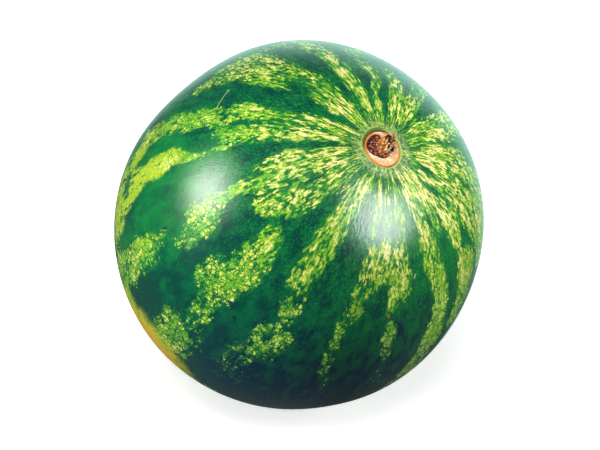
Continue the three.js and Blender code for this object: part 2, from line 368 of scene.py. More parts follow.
# Sizes are in millimetres, from the middle of the scar's floor, along the fruit's axis.
STUB_PLACE = LIE @ Matrix.Translation((0, 0, SCAR_FLOOR))
STUB_VOXEL = 0.22
STUB_FOOT = {"radius": 4.3, "height": 1.6, "off": -1.5}
STUB_LEAN = {"reach": 4.2, "around": 104, "from": 1.8, "to": 10.4, "power": 1.4}
STRANDS = {"count": 19, "foot": 4.5, "top": 3.7, "least": 6.4, "spare": 3.2, "twist": 24}
TIP_STRANDS = 5  # the longest strands, on the side that the stub leans to
TIP_SPACING = 13  # degrees between them
LUMPS = 30  # dry lumps on it
STUB_SEED = 21
# Lumps that stand in the moat: middle and radius.
MOAT_LUMPS = [
    ((-3.2, -4.6, 1.6), 1.0),
    ((-4.3, -5.4, 1.2), 0.9),
    ((0.6, -4.6, 1.2), 0.9),
    ((2.6, -2.4, 1.7), 0.9),
    ((3.7, -0.7, 1.8), 0.95),
    ((4.3, 1.0, 1.9), 0.95),
    ((4.2, 2.7, 2.0), 0.9),
    ((-6.8, -1.2, 1.1), 1.0),
    ((-7.4, 0.8, 1.3), 0.9),
    ((-1.4, -6.6, 1.0), 0.8),
    ((-6.0, -3.6, 0.9), 0.9),
]
# The stub is thinner on this side than on the others.
WASTED_SIDE = {"around": -145, "share": 0.24}
# Where rot has hollowed the stub out: middle and radius.
HOLLOWS = [
    ((-3.6, 2.2, 9.6), 1.7),
    ((-2.0, 3.4, 9.2), 1.9),
    ((-0.4, 4.6, 8.6), 1.3),
    ((0.9, 0.9, 7.2), 1.0),
    ((2.2, 4.9, 4.6), 1.9),
    ((2.2, 3.0, 6.2), 0.8),
    ((1.3, 6.2, 2.8), 1.5),
    ((2.6, 6.0, 2.9), 1.1),
]
# Strands that rot has left standing in the hollow: root, tip and thickness.
INNER_STRANDS = [
    ((-2.2, 4.9, 6.4), (-3.0, 5.6, 9.8), 0.7),
    ((-0.9, 4.2, 6.0), (-1.4, 4.7, 9.3), 0.55),
    ((-3.4, 2.2, 6.2), (-3.9, 3.3, 9.0), 0.45),
]
# Where it is painted palest: highlights on the stub and on the pad by its foot, and a pale patch
# further out on the base. Middle and radius.
PALE_AND_HIGHLIT = [
    ((2.5, 0.4, 5.6), 2.6),
    ((4.4, 3.9, 2.3), 1.2),
    ((-8.8, 2.2, 2.9), 3.2),
]
# The dark moat round the stub is widest on one side.
MOAT = {"inner": 4.0, "narrow": 5.5, "wide": 10.2, "around": -150, "depth": 1.5}
# The moat is painted darkest on this side, with painted shade.
MOAT_SHADE_SIDE = (-0.5, -0.87, 0)  # the moat is darkest on this side
BURNT_SIDE = (-1.0, -0.05, 0)  # the corky base is most orange on this side
PAD_SPREAD = 0.035  # the corky base reaches the skin
RIDGE_ROUNDS = 6
RIDGE_HEIGHT = 0.24 * MM  # from the bottom of a gap to the top of a ridge


def stub_middle(height):
    """Where the stub's middle is at a height: off the base's middle, and leaning."""
    rise = max(0, height - STUB_LEAN["from"]) / (STUB_LEAN["to"] - STUB_LEAN["from"])
    lean = STUB_LEAN["reach"] * rise ** STUB_LEAN["power"]
    around = math.radians(STUB_LEAN["around"])
    return Vector((STUB_FOOT["off"] + lean * math.cos(around), lean * math.sin(around), height))


def beside_stub(height, radius, around):
    turn = math.radians(around)
    return stub_middle(height) + radius * Vector((math.cos(turn), math.sin(turn), 0))


def add_strand(root, tip, thick):
    """One woody strand, thinner at its torn end."""
    run = (tip - root) * MM
    bpy.ops.mesh.primitive_cone_add(
        vertices=7,
        radius1=thick * MM,
        radius2=0.4 * thick * MM,
        depth=run.length,
        location=(root + tip) / 2 * MM,
        rotation=run.to_track_quat("Z", "Y").to_euler(),
    )
    switch("EDIT")
    bpy.ops.mesh.subdivide(number_cuts=3)
    switch("OBJECT")
    return bpy.context.object


def add_lump(middle, radius, stretch):
    bpy.ops.mesh.primitive_ico_sphere_add(
        subdivisions=2, radius=radius * MM, location=middle * MM, scale=stretch
    )
    return bpy.context.object


def join_all(pieces, name):
    deselect_all()
    for piece in pieces:
        piece.select_set(True)
    bpy.context.view_layer.objects.active = pieces[0]
    if len(pieces) > 1:
        bpy.ops.object.join()
    joined = bpy.context.object
    joined.name = name
    settle_place(joined)
    return joined


def fuse(obj):
    """Makes one closed, evenly meshed skin of all that the object holds."""
    apply_modifier(obj, "REMESH", mode="VOXEL", voxel_size=STUB_VOXEL * MM)


def rough_up(obj, name, wavelength, strength, group=""):
    texture = bpy.data.textures.new(name, "CLOUDS")
    texture.noise_scale = wavelength * MM
    texture.noise_depth = 2
    settings = {"texture": texture, "strength": strength * MM, "mid_level": 0.5}
    apply_modifier(obj, "DISPLACE", texture_coords="LOCAL", vertex_group=group, **settings)


def make_strands(draw):
    strands = []
    step = 360 / STRANDS["count"]
    for number in range(STRANDS["count"]):
        around = (number + draw.uniform(-0.4, 0.4)) * step
        height = STRANDS["least"] + STRANDS["spare"] * draw.uniform()
        turned = around + STRANDS["twist"] * draw.uniform(0.4, 1.6)
        root = beside_stub(STUB_FOOT["height"], STRANDS["foot"] * draw.uniform(0.9, 1.15), around)
        tip = beside_stub(height, STRANDS["top"] * draw.uniform(0.8, 1.1), turned)
        strands.append(add_strand(root, tip, draw.uniform(0.55, 1.0)))
    for number in range(TIP_STRANDS):
        around = STUB_LEAN["around"] + (number - TIP_STRANDS / 2) * TIP_SPACING
        root = beside_stub(4.0, 3.0, around)
        tip = beside_stub(draw.uniform(9.2, 10.6), draw.uniform(3.4, 4.3), around)
        strands.append(add_strand(root, tip, draw.uniform(0.7, 1.0)))
    return strands


def make_lumps(draw):
    lumps = []
    for middle, radius in MOAT_LUMPS:
        stretch = (draw.uniform(0.8, 1.5), draw.uniform(0.8, 1.5), 1)
        lumps.append(add_lump(Vector(middle), radius, stretch))
    for _ in range(LUMPS):
        around = draw.uniform(0, 360)
        height = draw.uniform(1.8, 7.5)
        middle = beside_stub(height, draw.uniform(3.7, 4.6), around)
        stretch = (draw.uniform(0.8, 1.3), draw.uniform(0.8, 1.3), draw.uniform(0.8, 1.7))
        lumps.append(add_lump(middle, draw.uniform(0.5, 0.95), stretch))
    return lumps


def stub_measures(places):
    """Distance and angle about the base's middle, height, and distance from the stub's."""
    own = places / MM
    radius = np.hypot(own[:, 0], own[:, 1])
    around = np.degrees(np.arctan2(own[:, 1], own[:, 0]))
    middles = np.array([stub_middle(height)[:2] for height in own[:, 2]])
    off = np.hypot(own[:, 0] - middles[:, 0], own[:, 1] - middles[:, 1])
    return radius, around, own[:, 2], off


def moat_edge(around):
    facing = np.cos(np.radians(around - MOAT["around"]))
    return MOAT["narrow"] + (MOAT["wide"] - MOAT["narrow"]) * smooth(facing, 0, 0.95)


def moat_field(radius, around, height, off):
    """1 at the bottom of the moat, 0 on the pad and well up the stub."""
    outside = smooth(radius, moat_edge(around) - 0.9, moat_edge(around) + 0.35)
    inside = 1 - smooth(off, MOAT["inner"] - 0.3, MOAT["inner"] + 0.8)
    climbed = smooth(height, 2.2, 4.4)
    return (1 - outside) * (1 - inside * climbed) * (1 - climbed)


def balls_field(balls, places, reach):
    """1 inside any of the balls, falling to 0 at reach times their radius."""
    own = places / MM
    depth = np.zeros(len(own))
    for middle, radius in balls:
        gap = np.linalg.norm(own - np.array(middle), axis=1) / radius
        depth = np.maximum(depth, 1 - smooth(gap, 0.95 * min(1, reach), 1.4 * reach))
    return depth


def inner_field(places):
    """1 on the strands that stand in the hollow."""
    near = [((Vector(root) + 2 * Vector(tip)) / 3, 2 * thick) for root, tip, thick in INNER_STRANDS]
    return balls_field(near, places, 0.8)


def squeeze_stub(stub):
    """Thins the stub on its wasted side, and spreads the base out to the skin."""
    places = vertices_of(stub)
    radius, _, height, off = stub_measures(places)
    middles = np.array([stub_middle(z)[:2] for z in height]) * MM
    side = math.radians(WASTED_SIDE["around"])
    away = places[:, :2] - middles
    reach = np.maximum(np.linalg.norm(away, axis=1), MM)
    facing = (away[:, 0] * math.cos(side) + away[:, 1] * math.sin(side)) / reach
    on_stub = smooth(height, 2.0, 3.2) * (1 - smooth(off, 5.2, 6.4))
    squeeze = 1 - WASTED_SIDE["share"] * on_stub * smooth(facing, -0.2, 0.9)
    places[:, :2] = middles + away * squeeze[:, None]
    places[:, :2] *= 1 + PAD_SPREAD * smooth(radius, 8, 10.4)[:, None]
    stub.data.vertices.foreach_set("co", places.ravel())


def sink_moat(stub):
    places = vertices_of(stub)
    radius, around, height, off = stub_measures(places)
    moat = moat_field(radius, around, height, off) * smooth(height, 0.9, 1.5)
    lowest = np.minimum(height, 0.8)
    places[:, 2] = np.maximum(height - MOAT["depth"] * moat, lowest) * MM
    stub.data.vertices.foreach_set("co", places.ravel())
    stub.data.update()


def drop_crumbs(stub):
    """Deletes any bit that isn't joined to the base."""
    pick(stub)
    switch("EDIT")
    bpy.ops.mesh.select_all(action="DESELECT")
    switch("OBJECT")
    places = vertices_of(stub)
    outermost = int(np.argmax(np.hypot(places[:, 0], places[:, 1])))
    stub.data.vertices[outermost].select = True
    switch("EDIT")
    bpy.ops.mesh.select_linked()
    bpy.ops.mesh.select_all(action="INVERT")
    bpy.ops.mesh.delete(type="VERT")
    switch("OBJECT")


def raised_share(stub):
    """How far each point stands out from the points about it: 1 on a ridge, 0 in a gap."""
    mesh = stub.data
    places = vertices_of(stub)
    ends = np.empty(len(mesh.edges) * 2, int)
    mesh.edges.foreach_get("vertices", ends)
    first, second = ends.reshape(-1, 2).T
    normals = np.empty(len(mesh.vertices) * 3)
    mesh.vertices.foreach_get("normal", normals)
    normals = normals.reshape(-1, 3)
    count = np.bincount(first, minlength=len(places)) + np.bincount(second, minlength=len(places))

    def averaged(values):
        total = np.zeros_like(values)
        np.add.at(total, first, values[second])
        np.add.at(total, second, values[first])
        return total / np.maximum(count, 1)[:, None]

    about = places
    for _ in range(RIDGE_ROUNDS):
        about = averaged(about)
    standing = ((places - about) * normals).sum(axis=1)
    return np.clip(0.5 + standing / RIDGE_HEIGHT, 0, 1)


def make_stub():
    draw = np.random.RandomState(STUB_SEED)
    base = merged_copy("stalk_stub", "corky base")
    switch("OBJECT")
    base.matrix_world = STUB_PLACE.inverted()
    settle_place(base)
    fuse(base)
    sink_moat(base)
    strands = join_all(make_strands(draw) + make_lumps(draw), "strands")
    rough_up(strands, "crooked strands", 2.6, 1.0)
    stub = join_all([base, strands], "dry_stub")
    fuse(stub)
    hollows = join_all([add_lump(Vector(c), r, (1, 1, 1.2)) for c, r in HOLLOWS], "hollows")
    rough_up(hollows, "ragged hollows", 1.5, 0.8)
    fuse(hollows)
    apply_modifier(stub, "BOOLEAN", operation="DIFFERENCE", object=hollows, solver="EXACT")
    bpy.data.objects.remove(hollows)
    inner = [add_strand(Vector(root), Vector(tip), thick) for root, tip, thick in INNER_STRANDS]
    stub = join_all([stub] + inner, "dry_stub")
    fuse(stub)
    drop_crumbs(stub)
    squeeze_stub(stub)
    apply_modifier(stub, "SMOOTH", factor=0.5, iterations=2)
    radius, around, height, off = stub_measures(vertices_of(stub))
    wood = np.maximum(smooth(height, 2.4, 3.4) * (1 - smooth(off, 5.0, 6.0)),
                      0.7 * moat_field(radius, around, height, off))
    group = stub.vertex_groups.new(name="cracked")
    for number, weight in enumerate(wood):
        group.add([number], 0.15 + 0.85 * float(weight), "REPLACE")
    rough_up(stub, "cracked wood", 0.8, 0.55, "cracked")
    finish_stub(stub)


def finish_stub(stub):
    places = vertices_of(stub)
    radius, around, height, off = stub_measures(places)
    store(stub, "moat", moat_field(radius, around, height, off))
    # The hollows get painted shade, and the strands standing in them less.
    store(stub, "hollow", balls_field(HOLLOWS, places, 1) * (1 - 0.8 * inner_field(places)))
    store(stub, "pale_and_highlit", balls_field(PALE_AND_HIGHLIT, places, 0.8))
    store(stub, "wood", smooth(height, 2.6, 3.6) * (1 - smooth(off, 4.8, 5.8)))
    store(stub, "rim", smooth(radius, 9.2, 10.6))
    # Used to paint light on the stub's ridges and shade in its gaps.
    store(stub, "ridge_light", raised_share(stub))
    store(stub, "stub", places / MM)
    stub.matrix_world = STUB_PLACE
    settle_place(stub)
    bpy.ops.object.shade_smooth()
    stub.data.materials.clear()
    stub.data.materials.append(dry_stalk_material())
    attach(stub, "root")
    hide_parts("stalk_stub")


# ---- Node building ----


def from_srgb(red, green, blue):
    """A shader colour from the 0 to 255 values of a paint chip."""

    def straighten(value):
        share = value / 255
        return share / 12.92 if share <= 0.04045 else ((share + 0.055) / 1.055) ** 2.4

    return (straighten(red), straighten(green), straighten(blue), 1)


class Nodes:
    """Adds nodes to a tree and joins them as they are made."""

    def __init__(self, tree):
        self.tree = tree

    def join(self, value, socket):
        if isinstance(value, bpy.types.NodeSocket):
            self.tree.links.new(value, socket)
        elif value is not None:
            socket.default_value = value

    def add(self, kind, inputs=None, **settings):
        node = self.tree.nodes.new(kind)
        for name, value in settings.items():
            setattr(node, name, value)
        for name, value in (inputs or {}).items():
            self.join(value, node.inputs[name])
        return node

    def math(self, operation, first, second=None, third=None, clamp=False):
        node = self.add("ShaderNodeMath", operation=operation, use_clamp=clamp)
        for value, socket in zip((first, second, third), node.inputs):
            self.join(value, socket)
        return node.outputs[0]

    def times(self, first, second):
        return self.math("MULTIPLY", first, second)

    def vector(self, operation, first, second=None, third=None, scale=None):
        node = self.add("ShaderNodeVectorMath", operation=operation)
        for value, socket in zip((first, second, third, scale), node.inputs):
            self.join(value, socket)
        single = operation in ("DOT_PRODUCT", "LENGTH")
        return node.outputs["Value" if single else "Vector"]

    def total(self, *terms):
        """The sum of (value, weight) pairs and plain numbers."""
        result = None
        for term in terms:
            if isinstance(term, tuple):
                term = self.times(*term)
            result = term if result is None else self.math("ADD", result, term)
        return result

    def step(self, value, low, high):
        """0 below low, 1 above high, and a smooth step between."""
        inputs = {"Value": value, "From Min": low, "From Max": high}
        node = self.add("ShaderNodeMapRange", inputs, interpolation_type="SMOOTHSTEP")
        return node.outputs["Result"]

    def fall(self, value, low, high):
        """1 below low, 0 above high, and a smooth step between."""
        return self.math("SUBTRACT", 1, self.step(value, low, high))

    def spread(self, value, low, high, to_low, to_high):
        inputs = {"Value": value, "From Min": low, "From Max": high}
        inputs.update({"To Min": to_low, "To Max": to_high})
        return self.add("ShaderNodeMapRange", inputs).outputs["Result"]

    def blend(self, share, low, high, mode="MIX"):
        node = self.add("ShaderNodeMix", data_type="RGBA", blend_type=mode, clamp_factor=True)
        self.join(share, node.inputs[0])
        self.join(low, node.inputs[6])
        self.join(high, node.inputs[7])
        return node.outputs[2]

    def attribute(self, name, output="Fac"):
        return self.add("ShaderNodeAttribute", attribute_name=name).outputs[output]

    def drawn_out(self, vector, pace):
        """The vector at another pace along the fruit: below 1 makes a pattern longer."""
        return self.vector("MULTIPLY", vector, (1, 1, pace))

    def noise(self, vector, wavelength, detail=2.0, roughness=0.5, output="Fac"):
        inputs = {"Vector": vector, "Scale": 1 / wavelength, "Detail": detail}
        inputs["Roughness"] = roughness
        return self.add("ShaderNodeTexNoise", inputs).outputs[output]

    def warped(self, vector, wavelength, amount, detail=1.0):
        """The vector, pushed about by noise."""
        push = self.noise(vector, wavelength, detail, output="Color")
        push = self.vector("SUBTRACT", push, (0.5, 0.5, 0.5))
        return self.vector("MULTIPLY_ADD", push, (amount, amount, amount), vector)

    def cells(self, vector, size, feature="F1"):
        inputs = {"Vector": vector, "Scale": 1 / size}
        return self.add("ShaderNodeTexVoronoi", inputs, feature=feature).outputs

    def bump(self, height, strength, depth):
        inputs = {"Height": height, "Strength": strength, "Distance": depth}
        return self.add("ShaderNodeBump", inputs).outputs[0]


def new_group(name, vectors, numbers, outputs):
    """An empty shader group that takes vectors and numbers, and gives numbers."""
    group = bpy.data.node_groups.new(name, "ShaderNodeTree")
    for labels, way, kind in (
        (vectors, "INPUT", "NodeSocketVector"),
        (numbers, "INPUT", "NodeSocketFloat"),
        (outputs, "OUTPUT", "NodeSocketFloat"),
    ):
        for label in labels:
            group.interface.new_socket(label, in_out=way, socket_type=kind)
    nodes = Nodes(group)
    return group, nodes, nodes.add("NodeGroupInput").outputs, nodes.add("NodeGroupOutput").inputs


def new_material(name):
    material = bpy.data.materials.new(name)
    material.use_nodes = True
    material.node_tree.nodes.clear()
    nodes = Nodes(material.node_tree)
    shader = nodes.add("ShaderNodeBsdfPrincipled")
    output = nodes.add("ShaderNodeOutputMaterial")
    material.node_tree.links.new(shader.outputs[0], output.inputs["Surface"])
    return material, nodes, shader.inputs


# ---- Rind ----

DEEP_STRIPE = from_srgb(2, 67, 56)
STRIPE = from_srgb(2, 93, 60)
SHADED_LOW_STRIPE = from_srgb(2, 50, 62)
BRIGHT_STRIPE = from_srgb(6, 124, 56)
HALO = from_srgb(15, 118, 53)
LEAF_GREEN = from_srgb(78, 160, 52)
MOTTLE = from_srgb(32, 140, 54)
PALE_EDGE = from_srgb(108, 182, 44)
PALE = from_srgb(208, 218, 86)
PALE_HEART = from_srgb(244, 238, 158)
GREENER_PALE = from_srgb(164, 222, 78)
GREENER_HEART = from_srgb(208, 242, 116)
COLLAR_GREEN = from_srgb(18, 100, 64)
COLLAR_PALE = from_srgb(192, 212, 112)
LIP_GREEN = from_srgb(188, 216, 66)
WALL_SHADE_OLIVE = from_srgb(70, 96, 2)
YELLOWED_SHEEN_GREEN = from_srgb(172, 200, 44)
GROUND_YELLOW = from_srgb(206, 212, 40)
GROUND_ORANGE = from_srgb(255, 180, 2)
GROUND_CREAM = from_srgb(244, 216, 118)
SCRATCH_TAN = from_srgb(168, 196, 128)
SPECK_BROWN = from_srgb(44, 22, 34)
FLECK_ORANGE = from_srgb(226, 116, 60)
FLECK_WHITE = from_srgb(206, 222, 206)
BUTTON_BROWN = from_srgb(120, 84, 50)

# Small marks: (down, around) of both ends, half width, how strongly it shows, and colour.
MARKS = [
    ((50.0, -147.4), (50.9, -139.1), 0.16, 0.7, SCRATCH_TAN),
    ((49.9, -147.6), (50.0, -147.2), 0.3, 0.7, SCRATCH_TAN),
    ((82.4, -59.2), (70.2, -56.7), 0.2, 0.13, SCRATCH_TAN),
    ((67.2, -64.8), (67.5, -64.2), 0.48, 0.8, SPECK_BROWN),
    ((48.4, -15.1), (49.4, -14.9), 0.28, 0.7, FLECK_ORANGE),
    ((37.2, -3.4), (38.2, -4.2), 0.25, 0.5, FLECK_WHITE),
    ((70.8, -100.4), (69.9, -100.1), 0.5, 0.7, SPECK_BROWN),
    ((72.6, -100.5), (70.2, -99.4), 0.2, 0.2, FLECK_WHITE),
]

# Angles down from the stem end at which one zone gives way to the next.
SCAR_WALL = (5.9, 6.3)
DULL_EDGE = (6, 9)
COLLAR_EDGE = (6.5, 11)
LIP_CREST = (7.7, 8.5)
STEM_END = (10, 30)
THREADS_END = (22, 56)
UPPER_HALF = (25, 80)
SHADED_LOWER_HALF = (60, 110)
BUTTON_EDGE = (178.4, 179.4)

# On this side the scar's wall is painted dark olive, as painted shade in the pit, below a bright
# green crest.
LIP_AND_SHADED_WALL_SIDE = (-0.96, -0.28, 0)  # the side of the scar where its lip is greenest
DULLNESS = (0.6, 0.06)  # roughness added in the scar, and outside it
THREADED = (0.92, 0.1)  # share of threads near the stem, and round the middle
CELL_SIZE = 2.6  # mm, of the pale cells
CLUMP_SIZE = 7.0  # mm, of the clumps that they stand in
SPECKLE = 1.3 * MM
RIND_RELIEF = 0.35 * MM
WAX = {
    "IOR": 1.45,
    "Specular IOR Level": 0.5,
    "Coat Weight": 0.1,
    "Coat Roughness": 0.3,
    "Sheen Weight": 0.07,
    "Sheen Roughness": 0.45,
    "Sheen Tint": (0.8, 1, 0.85, 1),
}


def net_group():
    """How the rind's pale bands break up: into pale cells with green veins between them
    round the middle, and into ragged threads towards the stem end."""
    outputs = ["Cell", "Rim", "Halo", "Heart", "Height"]
    group, nodes, given, gives = new_group(
        "broken net", ["Grain", "Thread"], ["Pale", "Threaded"], outputs
    )
    grain = given["Grain"]
    thread = given["Thread"]
    clumps = nodes.noise(grain, 9.0, 2, 0.55)
    streaks = nodes.noise(thread, 8.0, 2, 0.55)
    blots = nodes.noise(grain, 2.6, 2, 0.6)
    fine = nodes.noise(grain, 0.9, 2, 0.6)
    uneven = nodes.total((clumps, 1.1), (streaks, 1.1), -1.1)
    room = nodes.spread(given["Pale"], 0, 0.5, 0.25, 1)
    pale = nodes.math("MULTIPLY_ADD", uneven, room, given["Pale"])

    bent = nodes.warped(nodes.warped(grain, 4.0, 2.6, 1), 1.2, 0.8, 1)
    cell = nodes.cells(bent, CELL_SIZE)["Color"]
    draw = nodes.add("ShaderNodeSeparateColor", {"Color": cell}).outputs
    inside = nodes.cells(bent, CELL_SIZE, "DISTANCE_TO_EDGE")["Distance"]
    clump = nodes.cells(bent, CLUMP_SIZE, "DISTANCE_TO_EDGE")["Distance"]
    vein = nodes.math("MINIMUM", inside, nodes.times(clump, 1.3))
    body = nodes.total((vein, 1.0), (fine, 0.25), (pale, 0.06), -0.225)
    chance = nodes.total((pale, 1.3), (draw["Red"], -0.62), (blots, 0.7), -0.56)
    celled = nodes.math("MINIMUM", body, nodes.times(chance, 0.5))

    crooked = nodes.warped(thread, 5.0, 2.6, 2)
    ragged = nodes.noise(crooked, 2.7, 3, 0.65)
    hairs = nodes.noise(nodes.drawn_out(crooked, 0.4), 2.2, 2, 0.6)
    threaded = nodes.total((ragged, 1.1), (hairs, 2.0), (blots, 0.2), (pale, 0.45), -1.97)
    threaded = nodes.math("MINIMUM", threaded, nodes.total((pale, 0.9), (blots, 0.4), -0.42))
    rise = nodes.total((celled, 1.0), (nodes.math("SUBTRACT", threaded, celled), given["Threaded"]))
    lit = nodes.step(rise, 0.0, 0.06)
    tone = nodes.noise(thread, 11, 2, 0.6)
    dulled = nodes.total((rise, 1.8), (given["Threaded"], -0.16))
    heart = nodes.total(dulled, (draw["Green"], 0.4), (fine, 1.2), (tone, 1.2), -1.28)

    nodes.join(lit, gives["Cell"])
    nodes.join(nodes.step(rise, -0.035, 0.02), gives["Rim"])
    around_it = nodes.total(pale, (fine, 0.6), (blots, 0.6), -0.6)
    shallow = nodes.step(nodes.total(threaded, (given["Threaded"], 0.5)), -0.3, 0.1)
    halo = nodes.times(nodes.step(around_it, 0.1, 0.55), shallow)
    nodes.join(halo, gives["Halo"])
    nodes.join(nodes.step(heart, 0.0, 0.9), gives["Heart"])
    strands = nodes.times(hairs, given["Threaded"])
    nodes.join(nodes.math("MULTIPLY_ADD", lit, fine, strands), gives["Height"])
    return group


def mark_group():
    """How strongly a short mark shows at a place on the skin: a line with round ends."""
    numbers = ["Down", "Around", "Squeeze", "Half Width", "Wear"]
    group, nodes, given, gives = new_group("small mark", ["Start", "Run"], numbers, ["Mark"])
    across = nodes.times(given["Around"], given["Squeeze"])
    here = nodes.add("ShaderNodeCombineXYZ", {"X": given["Down"], "Y": across}).outputs[0]
    off = nodes.vector("SUBTRACT", here, given["Start"])
    along = nodes.math("DIVIDE", nodes.vector("DOT_PRODUCT", off, given["Run"]),
                       nodes.vector("DOT_PRODUCT", given["Run"], given["Run"]), clamp=True)
    nearest = nodes.vector("SCALE", given["Run"], scale=along)
    gap = nodes.vector("LENGTH", nodes.vector("SUBTRACT", off, nearest))
    worn = nodes.total((nodes.math("DIVIDE", gap, given["Half Width"]), 1.0), (given["Wear"], 0.8))
    nodes.join(nodes.fall(worn, 0.9, 1.8), gives["Mark"])
    return group


def add_mark(nodes, group, ends, half_width, down, around, wear):
    squeeze = math.sin(math.radians(ends[0][0]))
    start, end = (Vector((end[0], end[1] * squeeze, 0)) for end in ends)
    inputs = {"Down": down, "Around": around, "Wear": wear, "Squeeze": squeeze}
    inputs.update({"Start": start, "Run": end - start, "Half Width": half_width})
    return nodes.add("ShaderNodeGroup", inputs, node_tree=group).outputs["Mark"]


def rind_material():
    material, nodes, shader = new_material("waxy rind")
    grain = nodes.attribute("grain", "Vector")
    down = nodes.attribute("down")
    yellowed_and_lit = nodes.attribute("yellowed_and_lit")
    ground = nodes.attribute("ground")
    paler_and_lit = nodes.attribute("paler_and_lit")
    greener_and_shaded = nodes.attribute("greener_and_shaded")
    thread = nodes.attribute("thread", "Vector")
    threads = nodes.noise(thread, 1.6, 3, 0.65)
    pale = nodes.times(nodes.attribute("pale"), nodes.total((paler_and_lit, 0.3), 1.0))
    threaded = nodes.spread(nodes.step(down, *THREADS_END), 0, 1, *THREADED)
    inputs = {"Grain": grain, "Thread": thread, "Pale": pale, "Threaded": threaded}
    net = nodes.add("ShaderNodeGroup", inputs, node_tree=net_group()).outputs

    broad = nodes.noise(grain, 38, 3, 0.55)
    middling = nodes.noise(nodes.drawn_out(grain, 0.6), 7, 4, 0.65)
    fine = nodes.noise(grain, 1.2, 3, 0.7)
    # Low on the fruit the stripes are painted darker: painted shade where the fruit turns away from
    # the light.
    shaded_lower = nodes.step(down, *SHADED_LOWER_HALF)
    # In the lower middle the dark stripes take a darker blue-green: painted shade.
    deep_and_shaded = nodes.blend(nodes.step(greener_and_shaded, 0.1, 0.6), DEEP_STRIPE, SHADED_LOW_STRIPE)
    lighter = nodes.step(nodes.total(middling, (shaded_lower, -0.25)), 0.35, 0.62)
    stripe = nodes.blend(lighter, deep_and_shaded, STRIPE)
    bright = nodes.total((broad, 1.2), (middling, 0.9), (shaded_lower, -0.25), -0.98)
    # Stripes are painted brighter on the lit left and right sides, and darker low in the middle:
    # painted light and shade.
    bright = nodes.total(bright, (yellowed_and_lit, 0.55), (paler_and_lit, 0.4), (greener_and_shaded, -0.2))
    stripe = nodes.blend(nodes.step(bright, 0.0, 0.9), stripe, BRIGHT_STRIPE)
    grit = nodes.noise(grain, 1.15, 2, 0.75)
    upper = nodes.fall(down, *UPPER_HALF)
    mottle = nodes.total((grit, 1.0), (middling, 0.4), (upper, 0.06), (paler_and_lit, 0.04), -0.24)
    busy = nodes.total((upper, 0.65), (yellowed_and_lit, 0.5), 0.08)
    mottled = nodes.times(nodes.step(mottle, 0.5, 0.68), busy)
    stripe = nodes.blend(mottled, stripe, MOTTLE)
    halo = nodes.blend(nodes.times(net["Halo"], 0.75), stripe, HALO)
    lush = nodes.times(net["Halo"], nodes.step(threads, 0.45, 0.62))
    halo = nodes.blend(nodes.times(lush, 0.5), halo, LEAF_GREEN)
    rimmed = nodes.blend(nodes.times(net["Rim"], 0.6), halo, PALE_EDGE)
    leafy = nodes.step(greener_and_shaded, 0.0, 0.55)
    body = nodes.blend(leafy, PALE, GREENER_PALE)
    heart = nodes.blend(leafy, PALE_HEART, GREENER_HEART)
    ripe = nodes.total(net["Heart"], (greener_and_shaded, 0.35))
    pale = nodes.blend(nodes.step(ripe, 0.0, 0.5), PALE_EDGE, body)
    pale = nodes.blend(nodes.step(ripe, 0.4, 1.0), pale, heart)
    colour = nodes.blend(net["Cell"], rimmed, pale)

    by_stem = nodes.fall(down, *STEM_END)
    gritty = nodes.total((upper, 0.4), 0.15)
    shade = nodes.math("MULTIPLY_ADD", nodes.total((grit, 2.0), -1.0), gritty, 1.0)
    frayed = nodes.noise(nodes.drawn_out(thread, 2.2), 4.0, 3, 0.75)
    point = nodes.add("ShaderNodeTexCoord").outputs["Object"]
    speckle = nodes.noise(point, SPECKLE, 2, 0.75)
    rough_up = nodes.total((frayed, 1.8), (speckle, 2.4), -2.1)
    shade = nodes.math("MULTIPLY_ADD", rough_up, by_stem, shade)
    colour = nodes.blend(1.0, colour, shade, mode="MULTIPLY")
    # On the left limb a yellow-green wash: partly yellowed skin, partly a painted sheen where the
    # limb catches the light.
    yellowed_and_sheen = nodes.times(nodes.step(yellowed_and_lit, 0.55, 1.0), net["Halo"])
    colour = nodes.blend(nodes.times(yellowed_and_sheen, 0.75), colour, YELLOWED_SHEEN_GREEN)
    patchy = nodes.total((middling, 1.8), (grit, 2.0), -0.7)
    rough_ground = nodes.times(ground, patchy)
    colour = nodes.blend(nodes.step(rough_ground, 0.2, 0.85), colour, GROUND_YELLOW)
    colour = nodes.blend(nodes.step(rough_ground, 0.7, 1.0), colour, GROUND_ORANGE)
    cream = nodes.times(nodes.step(ground, 0.65, 1), nodes.step(middling, 0.36, 0.6))
    colour = nodes.blend(nodes.times(cream, 0.8), colour, GROUND_CREAM)
    near_scar = nodes.total(down, (threads, 7.0), (fine, 3.0), -5.0)
    collar = nodes.fall(near_scar, *COLLAR_EDGE)
    mixed = nodes.total((frayed, 0.4), (speckle, 0.6))
    ring = nodes.blend(nodes.step(mixed, 0.44, 0.56), COLLAR_GREEN, COLLAR_PALE)
    colour = nodes.blend(nodes.times(collar, 0.6), colour, ring)
    turned = nodes.vector("DOT_PRODUCT", thread, LIP_AND_SHADED_WALL_SIDE)
    lip = nodes.step(nodes.total(turned, (threads, 20.0), -10.0), 8, 48)
    crest = nodes.math("SUBTRACT", 0.85, nodes.step(nodes.total(down, (fine, 2.4)), *LIP_CREST))
    crest_green = nodes.blend(nodes.step(speckle, 0.3, 0.5), COLLAR_GREEN, LIP_GREEN)
    colour = nodes.blend(nodes.times(crest, lip), colour, crest_green)
